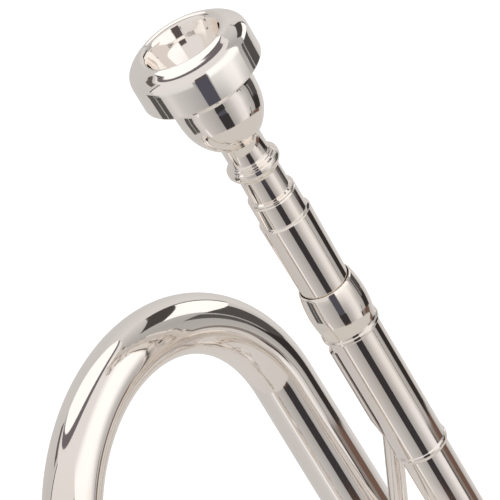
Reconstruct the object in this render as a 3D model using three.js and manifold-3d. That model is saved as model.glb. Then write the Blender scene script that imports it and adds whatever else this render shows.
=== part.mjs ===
// B flat piston trumpet, standing on its bell rim.
// Millimetres. +Z runs from the bell rim up to the mouthpiece, +X is the side of the finger
// buttons and +Y is the side of the bell, away from the leadpipe.
import * as THREE from 'three';
import { mergeVertices } from 'three/addons/utils/BufferGeometryUtils.js';
import Module from 'manifold-3d';

const wasm = await Module();
wasm.setup();

// ---- Driving dimensions ----
const LENGTH = 543;              // mouthpiece rim to bell rim
const GAP = 0.3;                 // clearance between neighbouring pieces
const WALL = 0.7;                // tube wall
const SIDES = 12;                // facets round a tube

const LEADPIPE = { x: 0, y: 0, radius: 5.6, bore: 4.9, from: 231, to: 449 };
const BELL_LEG = { x: -1.2, y: 36.8 };
const TAIL_LEG = { x: -80.5, y: 18.6, radius: 6.5 };
const BELL = { rimRadius: 61.5, throat: 20.2, power: 0.7, top: 370.7 };
const BOW = { crown: 482.6, start: 371, radius: 6.7 };
const BOW_BRACE_HEIGHT = 388;
const RECEIVER = { bottom: 428, top: 477.7 };
const REAR_BRACE = { across: 1.4, top: 439, drop: 50, saddleHeight: 450, saddleLength: 24 };
const BRACE_RADIUS = 2.1;
const HOOK = { radius: 11, strip: 1.6, width: 7, height: 218 };

const VALVE_NUMBERS = [1, 2, 3];
const VALVE = {
  y: 16.6, spacing: 29, first: 304, radius: 9.8, bore: 8.75, bottom: -104, top: 24, stroke: 16.5,
};
const PISTON = { radius: 8.4, bottom: -88, top: -26, barrelRadius: 6.4, barrelTop: 10 };
const GUIDE = { height: -21.5, thickness: 3 };
const CAP = { radius: 10.9, topHeight: 11 };
const STEM = { radius: 2.3, buttonRadius: 8, buttonHeight: 4.2 };
const BUTTON_LOW = VALVE.top + 6.6 + VALVE.stroke + 1.5;
const SPRING = { low: -19.2, high: 7.6, radius: 4.4, wire: 0.45, turns: 5 };

const SLEEVE = { radius: 6.5, bore: 6.05 };   // outer tube of every slide
const LEG = { radius: 5.7, bore: 5.1 };       // inner leg of every slide
const TUNING = { lowX: -62, sleeveEnd: 171, bend: 159, legEnd: 221 };
const FIRST_SLIDE = { high: -28, low: -54, y: 15.8, sleeveEnd: 344, bend: 360, legEnd: 322 };
const SECOND_SLIDE = { high: -30, low: -54, sleeveEnd: -14, bend: -20, legEnd: 2 };
const THIRD_SLIDE = { high: -46, low: -76, y: 31.6, sleeveEnd: 186, bend: 166, legEnd: 222 };
const SADDLE = { width: 20, height: 15, strip: 1.4, length: 13 };
const FINGER_RING = { radius: 11, bore: 9.6, width: 6 };
const KEY = { pivot: 11.2, length: 30, cork: -11 };

const SILVER = { color: 0xd9d6d0, roughness: 0.12, metalness: 1 };
const STEEL = { color: 0xa8a8a8, roughness: 0.35, metalness: 1 };
const PEARL = { color: 0xf2efe8, roughness: 0.25, metalness: 0 };
const CORK = { color: 0xb98a5a, roughness: 0.9, metalness: 0 };
const NYLON = { color: 0xe8e6e0, roughness: 0.6, metalness: 0 };

// ---- Solid helpers ----
function toManifold(geometry) {
  const plain = geometry.index ? geometry.toNonIndexed() : geometry.clone();
  plain.deleteAttribute('normal');
  plain.deleteAttribute('uv');
  const merged = mergeVertices(plain, 1e-4);
  const kept = [];
  const index = merged.index.array;
  for (let i = 0; i < index.length; i += 3) {
    const corners = [index[i], index[i + 1], index[i + 2]];
    if (new Set(corners).size === 3) kept.push(...corners);
  }
  const vertProperties = new Float32Array(merged.attributes.position.array);
  const triVerts = new Uint32Array(kept);
  return new wasm.Manifold(new wasm.Mesh({ numProp: 3, vertProperties, triVerts }));
}

function toGeometry(solid) {
  const mesh = solid.getMesh();
  const geometry = new THREE.BufferGeometry();
  geometry.setAttribute('position', new THREE.BufferAttribute(new Float32Array(mesh.vertProperties), 3));
  geometry.setIndex(Array.from(mesh.triVerts));
  return geometry;
}

function cut(geometry, ...cutters) {
  const start = toManifold(geometry);
  return toGeometry(cutters.reduce((solid, cutter) => solid.subtract(toManifold(cutter)), start));
}

function join(geometry, ...others) {
  const start = toManifold(geometry);
  return toGeometry(others.reduce((solid, other) => solid.add(toManifold(other)), start));
}

// A body turned about the Z axis. The outline is a list of [radius, z] that starts and ends on the
// axis, or a closed loop when hollow is true, walked so that the faces point outwards.
function turned(outline, sides = SIDES, hollow = false) {
  const points = outline.map(([radius, z]) => new THREE.Vector2(radius, z));
  if (hollow) points.push(points[0].clone());
  return new THREE.LatheGeometry(points, sides).rotateX(Math.PI / 2);
}

// A straight tube along Z with an open bore.
function pipe(radius, bore, low, high, sides = SIDES) {
  return turned([[bore, high], [bore, low], [radius, low], [radius, high]], sides, true);
}

function rod(radius, low, high, sides = SIDES) {
  return turned([[0, low], [radius, low], [radius, high], [0, high]], sides);
}

function block(x, y, z, width, depth, height) {
  return new THREE.BoxGeometry(width, depth, height).translate(x, y, z);
}

// A rod between two points.
function strut(from, to, radius, sides = 10) {
  const axis = new THREE.Vector3().subVectors(to, from);
  const upright = new THREE.Vector3(0, 0, 1);
  const turn = new THREE.Quaternion().setFromUnitVectors(upright, axis.clone().normalize());
  return rod(radius, 0, axis.length(), sides).applyQuaternion(turn).translate(from.x, from.y, from.z);
}

function ring(radius, bore, sides = SIDES) {
  const shape = new THREE.Shape().absarc(0, 0, radius, 0, 2 * Math.PI);
  if (bore > 0) shape.holes.push(new THREE.Path().absarc(0, 0, bore, 0, 2 * Math.PI, true));
  return { shape, curveSegments: sides / 2 };
}

// A tube that follows a path.
function bentTube(path, radius, bore, steps, sides = 12) {
  const section = ring(radius, bore, sides);
  return new THREE.ExtrudeGeometry(section.shape, {
    extrudePath: path, steps, curveSegments: section.curveSegments, bevelEnabled: false,
  });
}

// A path down one leg, round a half circle and back along the other leg. Ends are 3-D points; the
// half circle lies in the plane of the two legs, and its crown points along the direction given.
class HairpinPath extends THREE.Curve {
  constructor(start, bendStart, bendEnd, end) {
    super();
    this.points = [start, bendStart, bendEnd, end];
    this.centre = new THREE.Vector3().addVectors(bendStart, bendEnd).multiplyScalar(0.5);
    this.across = new THREE.Vector3().subVectors(bendStart, this.centre);
    this.forward = new THREE.Vector3().subVectors(bendStart, start).normalize();
    this.lengths = [
      start.distanceTo(bendStart), Math.PI * this.across.length(), bendEnd.distanceTo(end),
    ];
  }

  getPoint(t, target = new THREE.Vector3()) {
    const [first, second, third] = this.lengths;
    let walked = t * (first + second + third);
    if (walked < first) return target.lerpVectors(this.points[0], this.points[1], walked / first);
    walked -= first;
    if (walked > second) {
      return target.lerpVectors(this.points[2], this.points[3], Math.min(1, (walked - second) / third));
    }
    const turn = Math.PI * walked / second;
    return target.copy(this.centre)
      .addScaledVector(this.across, Math.cos(turn))
      .addScaledVector(this.forward, this.across.length() * Math.sin(turn));
  }
}

const assembly = new THREE.Group();

function place(name, geometry, finish) {
  const mesh = new THREE.Mesh(geometry, new THREE.MeshStandardMaterial(finish));
  mesh.name = name;
  assembly.add(mesh);
  return mesh;
}

// ---- Mouthpiece, receiver and leadpipe ----
function mouthpieceGeometry() {
  const top = LENGTH;
  return turned([
    [8.6, top - 1.0], [7.6, top - 5], [5.2, top - 9.5], [1.9, top - 12.5], [1.9, top - 20],
    [2.6, top - 40], [4.3, top - 87.5],
    [5.0, top - 87.5], [5.64, top - 63.9], [5.95, top - 46.4], [5.37, top - 46.1], [5.37, top - 40.2],
    [4.65, top - 40], [4.65, top - 33], [5.9, top - 32], [5.9, top - 30.7], [4.6, top - 29.8],
    [4.6, top - 26], [6.4, top - 23.4], [8.3, top - 20.6], [9.2, top - 17], [9.4, top - 9.2],
    [13.2, top - 8.9], [13.5, top - 8.4], [13.5, top - 1.8], [12.3, top - 0.5], [10.6, top],
  ], 20, true);
}

function receiverGeometry() {
  const { bottom, top } = RECEIVER;
  return turned([
    [5.82, top], [5.3, top - 24], [5.3, top - 25.5], [5.85, top - 25.5], [5.85, bottom],
    [6.35, bottom], [6.35, bottom + 1.2], [6.12, bottom + 1.4], [6.12, top - 13.2], [6.75, top - 13],
    [6.75, top - 12.2], [6.45, top - 11.6], [6.9, top - 7], [6.75, top - 3.6], [6.12, top - 0.4],
  ], 16, true);
}

place('mouthpiece', mouthpieceGeometry(), SILVER);
place('mouthpiece_receiver', receiverGeometry(), SILVER);
place('leadpipe', pipe(LEADPIPE.radius, LEADPIPE.bore, LEADPIPE.from, LEADPIPE.to, 16), SILVER);

// ---- Bell, bow and tail ----
function bellRadius(height) {
  return BELL.rimRadius * (BELL.throat / (height + BELL.throat)) ** BELL.power;
}

function bellGeometry() {
  const heights = [2.6, 5, 9, 15, 24, 38, 60, 95, 145, 200, 270, BELL.top];
  const inner = heights.map((z) => [bellRadius(z) - WALL, z]);
  const outer = heights.map((z) => [bellRadius(z), z]);
  const rim = BELL.rimRadius;
  const bead = [[rim - 3.6, 0], [rim - 0.5, 0], [rim, 0.7], [rim, 2], [rim - 1.4, 3]];
  return turned([...inner.reverse(), ...bead, ...outer.slice(1)], 30, true)
    .translate(BELL_LEG.x, BELL_LEG.y, 0);
}

function legAxis(leg, z) {
  return new THREE.Vector3(leg.x, leg.y, z);
}

function bowGeometry() {
  const span = Math.hypot(BELL_LEG.x - TAIL_LEG.x, BELL_LEG.y - TAIL_LEG.y);
  const bend = BOW.crown - span / 2;
  const path = new HairpinPath(
    legAxis(BELL_LEG, BOW.start), legAxis(BELL_LEG, bend), legAxis(TAIL_LEG, bend),
    legAxis(TAIL_LEG, BOW.start),
  );
  return bentTube(path, BOW.radius, BOW.radius - WALL, 18);
}

function ferrule(leg, middle, radius, length) {
  return pipe(radius + 1, radius + 0.4, middle - length / 2, middle + length / 2, 16)
    .translate(leg.x, leg.y, 0);
}

function bellTailGeometry() {
  const bottom = VALVE.first + 4;
  const tube = pipe(TAIL_LEG.radius, TAIL_LEG.radius - WALL, bottom, BOW.start - GAP)
    .translate(TAIL_LEG.x, TAIL_LEG.y, 0);
  return cut(tube, casingEnvelope(1));
}

place('bell', bellGeometry(), SILVER);
place('bell_bow', bowGeometry(), SILVER);
place('bell_ferrule', ferrule(BELL_LEG, BOW.start, bellRadius(BOW.start - 6), 12), SILVER);
place('tail_ferrule', ferrule(TAIL_LEG, BOW.start, BOW.radius, 12), SILVER);
place('bell_tail', bellTailGeometry(), SILVER);

// ---- Valves ----
function valveHeight(number) {
  return VALVE.first - VALVE.spacing * (number - 1);
}

// Valves are turned about Z and then laid along X, so a height above the axis becomes X.
function layValve(geometry, number) {
  return geometry.rotateY(Math.PI / 2).translate(0, VALVE.y, valveHeight(number));
}

function casingEnvelope(number) {
  return layValve(rod(VALVE.radius + GAP, VALVE.bottom, VALVE.top, 24), number);
}

function casingGeometry() {
  const { radius, bore, bottom, top } = VALVE;
  return turned([
    [bore, top], [bore, bottom], [radius - 0.5, bottom], [radius - 0.5, bottom + 6],
    [radius, bottom + 6.2], [radius, top - 6.2], [radius - 0.5, top - 6], [radius - 0.5, top],
  ], 20, true);
}

function bottomCapGeometry() {
  const rim = VALVE.bottom + 5.8;
  const floor = VALVE.bottom - 1.4;
  const low = floor - 1.6;
  return turned([
    [0, low - 1.5], [4, low - 1.5], [4.2, low], [CAP.radius - 1, low], [CAP.radius, low + 1],
    [CAP.radius, rim], [VALVE.radius - 0.2, rim], [VALVE.radius - 0.2, VALVE.bottom - GAP],
    [8, floor], [0, floor],
  ], 16);
}

function topCapGeometry() {
  const low = VALVE.top - 5.8;
  const high = low + CAP.topHeight;
  const innerRadius = VALVE.radius - 0.2;
  return turned([
    [2.8, high + 1.4], [2.8, high - 1.8], [innerRadius, high - 3], [innerRadius, low],
    [CAP.radius, low], [CAP.radius, high - 2], [CAP.radius - 1.5, high], [4.4, high + 1.4],
  ], 16, true);
}

// Ported piston with its spring barrel on top. Two slots in the barrel let it pass the guide.
function pistonGeometry() {
  const { radius, bottom, top, barrelRadius, barrelTop } = PISTON;
  const body = turned([
    [0, bottom + 8], [6.6, bottom + 8], [6.6, bottom], [radius, bottom], [radius, top],
    [barrelRadius, top], [barrelRadius, barrelTop], [2.7, barrelTop], [2.7, barrelTop - 1.4],
    [5.4, barrelTop - 1.4], [5.4, top + 1], [0, top + 1],
  ], 16);
  const slotLow = GUIDE.height - GUIDE.thickness / 2 - 0.5;
  const slotHigh = GUIDE.height + GUIDE.thickness / 2 + VALVE.stroke + 0.5;
  const slot = block(0, 0, (slotLow + slotHigh) / 2, 20, GUIDE.thickness + 0.6, slotHigh - slotLow);
  const ports = [[-40, 0], [-58, 1.57], [-72, 0.8]].map(([height, turn]) => (
    rod(4.6, -12, 12, 8).rotateX(Math.PI / 2).rotateZ(turn).translate(0, 0, height)
  ));
  return cut(body, slot, ...ports);
}

function guideGeometry() {
  return block(0, 0, GUIDE.height, 2 * (VALVE.bore - 0.35), GUIDE.thickness, GUIDE.thickness);
}

function stemGeometry() {
  const low = PISTON.barrelTop - 1.2;
  return turned([
    [0, low], [STEM.radius, low], [STEM.radius, PISTON.barrelTop + GAP], [4, PISTON.barrelTop + GAP],
    [4, PISTON.barrelTop + 2], [STEM.radius, PISTON.barrelTop + 2.4], [STEM.radius, BUTTON_LOW - GAP],
    [0, BUTTON_LOW - GAP],
  ], 12);
}

function buttonGeometry() {
  const high = BUTTON_LOW + STEM.buttonHeight;
  const { buttonRadius } = STEM;
  return turned([
    [0, BUTTON_LOW], [3, BUTTON_LOW], [buttonRadius - 1.6, high - 2.6], [buttonRadius, high - 1.8],
    [buttonRadius, high - 0.5], [buttonRadius - 0.6, high], [6.2, high], [5.9, high - 0.4],
    [0, high - 0.2],
  ], 16);
}

class Helix extends THREE.Curve {
  getPoint(t, target = new THREE.Vector3()) {
    const turn = 2 * Math.PI * SPRING.turns * t;
    const height = SPRING.low + (SPRING.high - SPRING.low) * t;
    return target.set(SPRING.radius * Math.cos(turn), SPRING.radius * Math.sin(turn), height);
  }
}

function springGeometry() {
  return bentTube(new Helix(), SPRING.wire, 0, SPRING.turns * 8, 4);
}

const VALVE_PIECES = [
  ['valve_casing', casingGeometry, SILVER],
  ['bottom_cap', bottomCapGeometry, SILVER],
  ['top_cap', topCapGeometry, SILVER],
  ['piston', pistonGeometry, STEEL],
  ['valve_guide', guideGeometry, NYLON],
  ['valve_spring', springGeometry, STEEL],
  ['valve_stem', stemGeometry, SILVER],
  ['finger_button', buttonGeometry, PEARL],
];

VALVE_NUMBERS.forEach((number) => {
  VALVE_PIECES.forEach(([name, shape, finish]) => {
    place(`${name}_${number}`, layValve(shape(), number), finish);
  });
});

// Short tubes that carry the air between neighbouring casings.
function linkTube(number, x) {
  const tube = pipe(5.6, 4.9, valveHeight(number + 1), valveHeight(number), 12).translate(x, VALVE.y, 0);
  return cut(tube, casingEnvelope(number), casingEnvelope(number + 1));
}

place('link_tube_12_upper', linkTube(1, -20), SILVER);
place('link_tube_12_lower', linkTube(1, -46), SILVER);
place('link_tube_23_upper', linkTube(2, -34), SILVER);
place('link_tube_23_lower', linkTube(2, -70), SILVER);

// ---- Main tuning slide ----
const TUNING_LOW = { x: TUNING.lowX, y: VALVE.y };

function sleeve(leg, low, high) {
  return pipe(SLEEVE.radius, SLEEVE.bore, low, high).translate(leg.x, leg.y, 0);
}

// A bent slide tube with a ferrule where each leg leaves the bend. The ferrules stop on the
// sleeves when the slide is closed.
function crook(legA, legB, bend, legEnd, ferruleEnd) {
  const path = new HairpinPath(
    legAxis(legA, legEnd), legAxis(legA, bend), legAxis(legB, bend), legAxis(legB, legEnd),
  );
  const low = Math.min(bend, ferruleEnd);
  const high = Math.max(bend, ferruleEnd);
  const ferrules = [legA, legB].map((leg) => (
    pipe(SLEEVE.radius, LEG.radius - 0.25, low, high).translate(leg.x, leg.y, 0)
  ));
  return join(bentTube(path, LEG.radius, LEG.bore, 12), ...ferrules);
}

function crossBrace(legA, legB, z, reach) {
  const from = legAxis(legA, z);
  const to = legAxis(legB, z);
  const along = new THREE.Vector3().subVectors(to, from).normalize().multiplyScalar(reach);
  return strut(from.add(along), to.sub(along), BRACE_RADIUS);
}

place('leadpipe_sleeve', sleeve(LEADPIPE, TUNING.sleeveEnd, LEADPIPE.from + 5), SILVER);
place('tuning_lower_sleeve',
  cut(sleeve(TUNING_LOW, TUNING.sleeveEnd, valveHeight(3) - 4), casingEnvelope(3)), SILVER);
place('tuning_crook',
  crook(LEADPIPE, TUNING_LOW, TUNING.bend, TUNING.legEnd, TUNING.sleeveEnd - GAP), SILVER);
place('tuning_sleeve_brace', crossBrace(LEADPIPE, TUNING_LOW, 198, SLEEVE.radius + GAP), SILVER);
place('tuning_slide_brace',
  crossBrace(LEADPIPE, TUNING_LOW, TUNING.bend + 6, SLEEVE.radius + GAP), SILVER);

// ---- First valve slide, towards the player ----
const FIRST_HIGH = { x: FIRST_SLIDE.high, y: FIRST_SLIDE.y };
const FIRST_LOW = { x: FIRST_SLIDE.low, y: FIRST_SLIDE.y };

function firstSleeves() {
  const bottom = valveHeight(1) + 4;
  const high = sleeve(FIRST_HIGH, bottom, FIRST_SLIDE.sleeveEnd);
  const low = sleeve(FIRST_LOW, bottom, FIRST_SLIDE.sleeveEnd);
  const bridge = crossBrace(FIRST_HIGH, FIRST_LOW, FIRST_SLIDE.sleeveEnd - 8, SLEEVE.radius - 0.3);
  return cut(join(high, low, bridge), casingEnvelope(1));
}

// A thumb rest: a strip bent into a U that opens upwards.
function thumbSaddleGeometry() {
  const { width, height, strip, length } = SADDLE;
  const outer = new THREE.Shape().moveTo(height, -width / 2);
  outer.lineTo(5, -width / 2).quadraticCurveTo(0, -width / 2, 0, 0);
  outer.quadraticCurveTo(0, width / 2, 5, width / 2).lineTo(height, width / 2);
  outer.lineTo(height, width / 2 - strip).lineTo(5.5, width / 2 - strip);
  outer.quadraticCurveTo(strip, width / 2 - strip, strip, 0);
  outer.quadraticCurveTo(strip, strip - width / 2, 5.5, strip - width / 2).lineTo(height, strip - width / 2);
  const geometry = new THREE.ExtrudeGeometry(outer, { depth: length, bevelEnabled: false, curveSegments: 6 });
  const base = FIRST_SLIDE.high + SLEEVE.radius + GAP;
  return geometry.translate(base, FIRST_SLIDE.y, FIRST_SLIDE.sleeveEnd + 1.5);
}

place('first_slide_sleeves', firstSleeves(), SILVER);
place('first_slide_crook',
  crook(FIRST_HIGH, FIRST_LOW, FIRST_SLIDE.bend, FIRST_SLIDE.legEnd, FIRST_SLIDE.sleeveEnd + GAP), SILVER);
place('thumb_saddle', thumbSaddleGeometry(), SILVER);

// ---- Second valve slide, pointing to the player's right ----
// Built along Z with its legs running down, then turned so that down becomes -Y.
const SECOND_HIGH = { x: SECOND_SLIDE.high, y: 0 };
const SECOND_LOW = { x: SECOND_SLIDE.low, y: 0 };

function laySecond(geometry) {
  return geometry.rotateX(-Math.PI / 2).translate(0, 0, valveHeight(2));
}

function secondSleeves() {
  const top = VALVE.y - 4;
  const high = sleeve(SECOND_HIGH, SECOND_SLIDE.sleeveEnd, top);
  const low = sleeve(SECOND_LOW, SECOND_SLIDE.sleeveEnd, top);
  const bridge = crossBrace(SECOND_HIGH, SECOND_LOW, SECOND_SLIDE.sleeveEnd + 6, SLEEVE.radius - 0.3);
  return cut(laySecond(join(high, low, bridge)), casingEnvelope(2));
}

function secondCrook() {
  const bent = crook(SECOND_HIGH, SECOND_LOW, SECOND_SLIDE.bend, SECOND_SLIDE.legEnd,
    SECOND_SLIDE.sleeveEnd - GAP);
  const crown = SECOND_SLIDE.bend - (SECOND_SLIDE.high - SECOND_SLIDE.low) / 2 - LEG.radius;
  const knob = turned([
    [0, crown - 6], [2.2, crown - 5.8], [3, crown - 4.6], [2.2, crown - 3.2], [1.5, crown - 2],
    [1.8, crown + 0.6], [0, crown + 0.6],
  ], 12).translate((SECOND_SLIDE.high + SECOND_SLIDE.low) / 2, 0, 0);
  return laySecond(join(bent, knob));
}

place('second_slide_sleeves', secondSleeves(), SILVER);
place('second_slide_crook', secondCrook(), SILVER);

// ---- Third valve slide, towards the bell ----
const THIRD_HIGH = { x: THIRD_SLIDE.high, y: THIRD_SLIDE.y };
const THIRD_LOW = { x: THIRD_SLIDE.low, y: THIRD_SLIDE.y };

// A sleeve closed by a dome where it turns into the side of the casing.
function domedSleeve(leg) {
  const top = valveHeight(3) + 5;
  const { radius, bore } = SLEEVE;
  return turned([
    [0, top - 0.6], [bore * 0.7, top - 2.2], [bore, top - 5.6], [bore, THIRD_SLIDE.sleeveEnd],
    [radius, THIRD_SLIDE.sleeveEnd], [radius, top - 5.4], [radius * 0.7, top - 1.6], [0, top],
  ]).translate(leg.x, leg.y, 0);
}

function thirdSleeves() {
  const bridge = crossBrace(THIRD_HIGH, THIRD_LOW, THIRD_SLIDE.sleeveEnd + 8, SLEEVE.radius - 0.3);
  return cut(join(domedSleeve(THIRD_HIGH), domedSleeve(THIRD_LOW), bridge), casingEnvelope(3));
}

function fingerRingGeometry() {
  const { radius, bore, width } = FINGER_RING;
  const section = ring(radius, bore, 12);
  const band = new THREE.ExtrudeGeometry(section.shape, {
    depth: width, bevelEnabled: false, curveSegments: section.curveSegments,
  });
  const x = THIRD_SLIDE.high + SLEEVE.radius + GAP + radius;
  const z = (THIRD_SLIDE.sleeveEnd + THIRD_SLIDE.bend) / 2;
  return band.rotateX(Math.PI / 2).translate(x, THIRD_SLIDE.y + width / 2, z);
}

place('third_slide_sleeves', thirdSleeves(), SILVER);
place('third_slide_crook',
  crook(THIRD_HIGH, THIRD_LOW, THIRD_SLIDE.bend, THIRD_SLIDE.legEnd, THIRD_SLIDE.sleeveEnd - GAP), SILVER);
place('third_slide_ring', fingerRingGeometry(), SILVER);

// ---- Water keys ----
// Built with X pointing out from the leg, Y along the pivot and Z along the leg. The origin is on
// the leg's axis, at the height of the pivot.
function keySaddle() {
  const foot = SLEEVE.radius + GAP;
  const height = KEY.pivot + 1.6 - foot;
  const post = block(foot + height / 2, 0, 0, height, 8.4, 4);
  const slot = block(KEY.pivot, 0, 0, 4.4, 5.8, 6);
  const pin = rod(0.8, -4, 4, 8).rotateX(Math.PI / 2).translate(KEY.pivot, 0, 0);
  return join(cut(post, slot), pin);
}

function keyLever() {
  const bar = block(KEY.pivot, 0, 1, 2.8, 5.2, KEY.length);
  const hole = rod(1.1, -4, 4, 8).rotateX(Math.PI / 2).translate(KEY.pivot, 0, 0);
  return cut(bar, hole);
}

function keyCork() {
  const top = KEY.pivot - 1.4 - GAP;
  return rod(2.4, SLEEVE.radius - 0.4, top, 12).rotateY(Math.PI / 2).translate(0, 0, KEY.cork);
}

function placeKey(prefix, leg, outwardAngle, height) {
  const pieces = [['saddle', keySaddle, SILVER], ['lever', keyLever, SILVER], ['cork', keyCork, CORK]];
  pieces.forEach(([name, shape, finish]) => {
    const geometry = shape().rotateZ(outwardAngle).translate(leg.x, leg.y, height);
    place(`${prefix}_key_${name}`, geometry, finish);
  });
}

const tuningOutward = Math.atan2(TUNING_LOW.y - LEADPIPE.y, TUNING_LOW.x - LEADPIPE.x);
placeKey('tuning', TUNING_LOW, tuningOutward, TUNING.bend + 5);
placeKey('third', THIRD_LOW, Math.PI, THIRD_SLIDE.bend + 5);

// ---- Braces and finger hook ----
function envelope(leg, radius, low, high) {
  return rod(radius + GAP, low, high, 20).translate(leg.x, leg.y, 0);
}

// Slanting rod from a saddle on the receiver to the bell's upper leg.
function rearBraceGeometry() {
  const { across, top, drop, saddleHeight, saddleLength } = REAR_BRACE;
  const start = new THREE.Vector3(across, 4, top);
  const end = new THREE.Vector3(BELL_LEG.x + across, BELL_LEG.y - 4, top - drop);
  const saddle = block(0, 5.6, saddleHeight, 9, 5, saddleLength);
  const foot = block(BELL_LEG.x, BELL_LEG.y - 6, top - drop, 9, 5, 16);
  return cut(join(strut(start, end, BRACE_RADIUS), saddle, foot),
    envelope(LEADPIPE, 6.75, RECEIVER.bottom - 20, RECEIVER.top),
    envelope(BELL_LEG, BOW.radius, BELL.top, BOW.crown));
}

function frontBraceGeometry() {
  const z = 208;
  const start = new THREE.Vector3(0, 4, z);
  const end = new THREE.Vector3(BELL_LEG.x, BELL_LEG.y - 8, z);
  return cut(strut(start, end, BRACE_RADIUS),
    envelope(LEADPIPE, SLEEVE.radius, z - 20, z + 20),
    envelope(BELL_LEG, bellRadius(z - 6), z - 20, z + 20));
}

function pinkyHookGeometry() {
  const { radius, strip, width, height } = HOOK;
  const start = -0.55 * Math.PI;
  const end = 0.8 * Math.PI;
  const outline = new THREE.Shape().absarc(0, 0, radius, start, end, false);
  outline.absarc(0, 0, radius - strip, end, start, true);
  const band = new THREE.ExtrudeGeometry(outline, { depth: width, bevelEnabled: false, curveSegments: 14 });
  const x = SLEEVE.radius + GAP + radius;
  return band.rotateX(Math.PI / 2).rotateY(Math.PI / 2).translate(x, width / 2, height);
}

place('rear_brace', rearBraceGeometry(), SILVER);
place('front_brace', frontBraceGeometry(), SILVER);
place('bow_brace', crossBrace(BELL_LEG, TAIL_LEG, BOW_BRACE_HEIGHT, BOW.radius + GAP), SILVER);
place('pinky_hook', pinkyHookGeometry(), SILVER);

// The origin is on the plane of the bell rim, under the middle of the whole instrument.
assembly.updateMatrixWorld(true);
const middle = new THREE.Box3().setFromObject(assembly, true).getCenter(new THREE.Vector3());
assembly.position.set(-middle.x, -middle.y, 0);

export default assembly;
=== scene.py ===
import math

import bmesh
import bpy
from mathutils import Matrix, Vector


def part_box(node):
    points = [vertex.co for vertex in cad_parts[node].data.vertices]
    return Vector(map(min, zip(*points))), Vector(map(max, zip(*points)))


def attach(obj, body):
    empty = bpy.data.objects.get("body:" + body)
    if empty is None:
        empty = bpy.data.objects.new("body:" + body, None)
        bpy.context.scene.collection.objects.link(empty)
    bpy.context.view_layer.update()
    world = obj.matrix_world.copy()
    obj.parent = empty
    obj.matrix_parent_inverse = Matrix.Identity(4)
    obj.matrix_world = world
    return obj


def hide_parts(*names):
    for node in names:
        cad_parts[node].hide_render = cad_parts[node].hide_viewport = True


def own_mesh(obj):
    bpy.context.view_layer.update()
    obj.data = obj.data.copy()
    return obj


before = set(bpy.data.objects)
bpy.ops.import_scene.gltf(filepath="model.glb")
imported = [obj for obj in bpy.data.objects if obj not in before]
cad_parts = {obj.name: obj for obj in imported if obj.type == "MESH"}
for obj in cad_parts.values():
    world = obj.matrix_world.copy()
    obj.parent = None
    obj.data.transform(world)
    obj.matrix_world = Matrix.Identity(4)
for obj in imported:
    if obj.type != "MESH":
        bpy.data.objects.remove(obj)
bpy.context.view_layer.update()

MM = 0.001

# ---- Camera and studio ----
# A long lens looks down on the mouthpiece end from the player's right, rolled so that the
# leadpipe runs across the picture. The floor is a pale sweep, and the instrument stands inside
# a round light tent that only its polished surfaces see.
CAMERA_AIM = Vector((0.0102, -0.0320, 0.5000))
CAMERA_DISTANCE = 0.620
CAMERA_AZIMUTH = math.radians(-29.0)
CAMERA_ELEVATION = math.radians(30.08)
CAMERA_ROLL = math.radians(-31.3)

camera_data = bpy.data.cameras.new("camera")
camera_data.lens = 216
camera_data.sensor_width = 36
camera_data.clip_start = 0.05
camera = bpy.data.objects.new("camera", camera_data)
bpy.context.scene.collection.objects.link(camera)
towards_camera = Vector((
    math.sin(CAMERA_AZIMUTH) * math.cos(CAMERA_ELEVATION),
    -math.cos(CAMERA_AZIMUTH) * math.cos(CAMERA_ELEVATION),
    math.sin(CAMERA_ELEVATION),
))
upright = towards_camera.to_track_quat("Z", "Y").to_matrix().to_4x4()
camera.matrix_world = (
    Matrix.Translation(CAMERA_AIM + towards_camera * CAMERA_DISTANCE)
    @ upright @ Matrix.Rotation(CAMERA_ROLL, 4, "Z")
)
bpy.context.scene.camera = camera
bpy.context.scene.view_settings.view_transform = "Standard"

world = bpy.data.worlds.new("studio")
world.use_nodes = True
world.node_tree.nodes["Background"].inputs["Color"].default_value = (1, 1, 1, 1)
world.node_tree.nodes["Background"].inputs["Strength"].default_value = 1.0
bpy.context.scene.world = world


def add_area_light(name, place, size, power):
    light = bpy.data.lights.new(name, "AREA")
    light.energy = power
    light.size = size
    lamp = bpy.data.objects.new(name, light)
    lamp.location = place
    lamp.rotation_euler = (Vector(place) - Vector((0, 0, 0.3))).to_track_quat("Z", "Y").to_euler()
    bpy.context.scene.collection.objects.link(lamp)
    lamp.visible_glossy = False


add_area_light("key_light", (-1.2, -1.4, 1.8), 1.2, 12)
add_area_light("fill_light", (1.6, -0.6, 1.2), 1.5, 5)


def stage_object(name, shape, finish):
    mesh = bpy.data.meshes.new(name)
    shape.to_mesh(mesh)
    shape.free()
    thing = bpy.data.objects.new(name, mesh)
    bpy.context.scene.collection.objects.link(thing)
    mesh.materials.append(finish)
    mesh.shade_smooth()
    return thing


floor_finish = bpy.data.materials.new("floor_paper")
floor_finish.use_nodes = True
floor_shader = floor_finish.node_tree.nodes["Principled BSDF"]
floor_shader.inputs["Base Color"].default_value = (0.93, 0.93, 0.93, 1)
floor_shader.inputs["Roughness"].default_value = 0.9
floor_shader.inputs["Specular IOR Level"].default_value = 0.1
floor_shader.inputs["Emission Color"].default_value = (1, 1, 1, 1)
floor_shader.inputs["Emission Strength"].default_value = 0.12
floor_shape = bmesh.new()
bmesh.ops.create_circle(floor_shape, cap_ends=True, segments=96, radius=3.0)
stage_object("floor", floor_shape, floor_finish).visible_glossy = False

TENT_RADIUS = 0.6
TENT_FOOT = -0.02
TENT_TOP = 1.2
UNDER_BOW = 0.056
UNDER_RIM = 0.205
EYE_LEVEL = 0.65
BLACK = (0.035, 0.030, 0.028)
DUSK = (0.16, 0.14, 0.15)
PALE = (0.80, 0.77, 0.75)
WHITE = (1.12, 1.10, 1.08)
WARM = (1.0, 0.965, 0.945)
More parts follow.
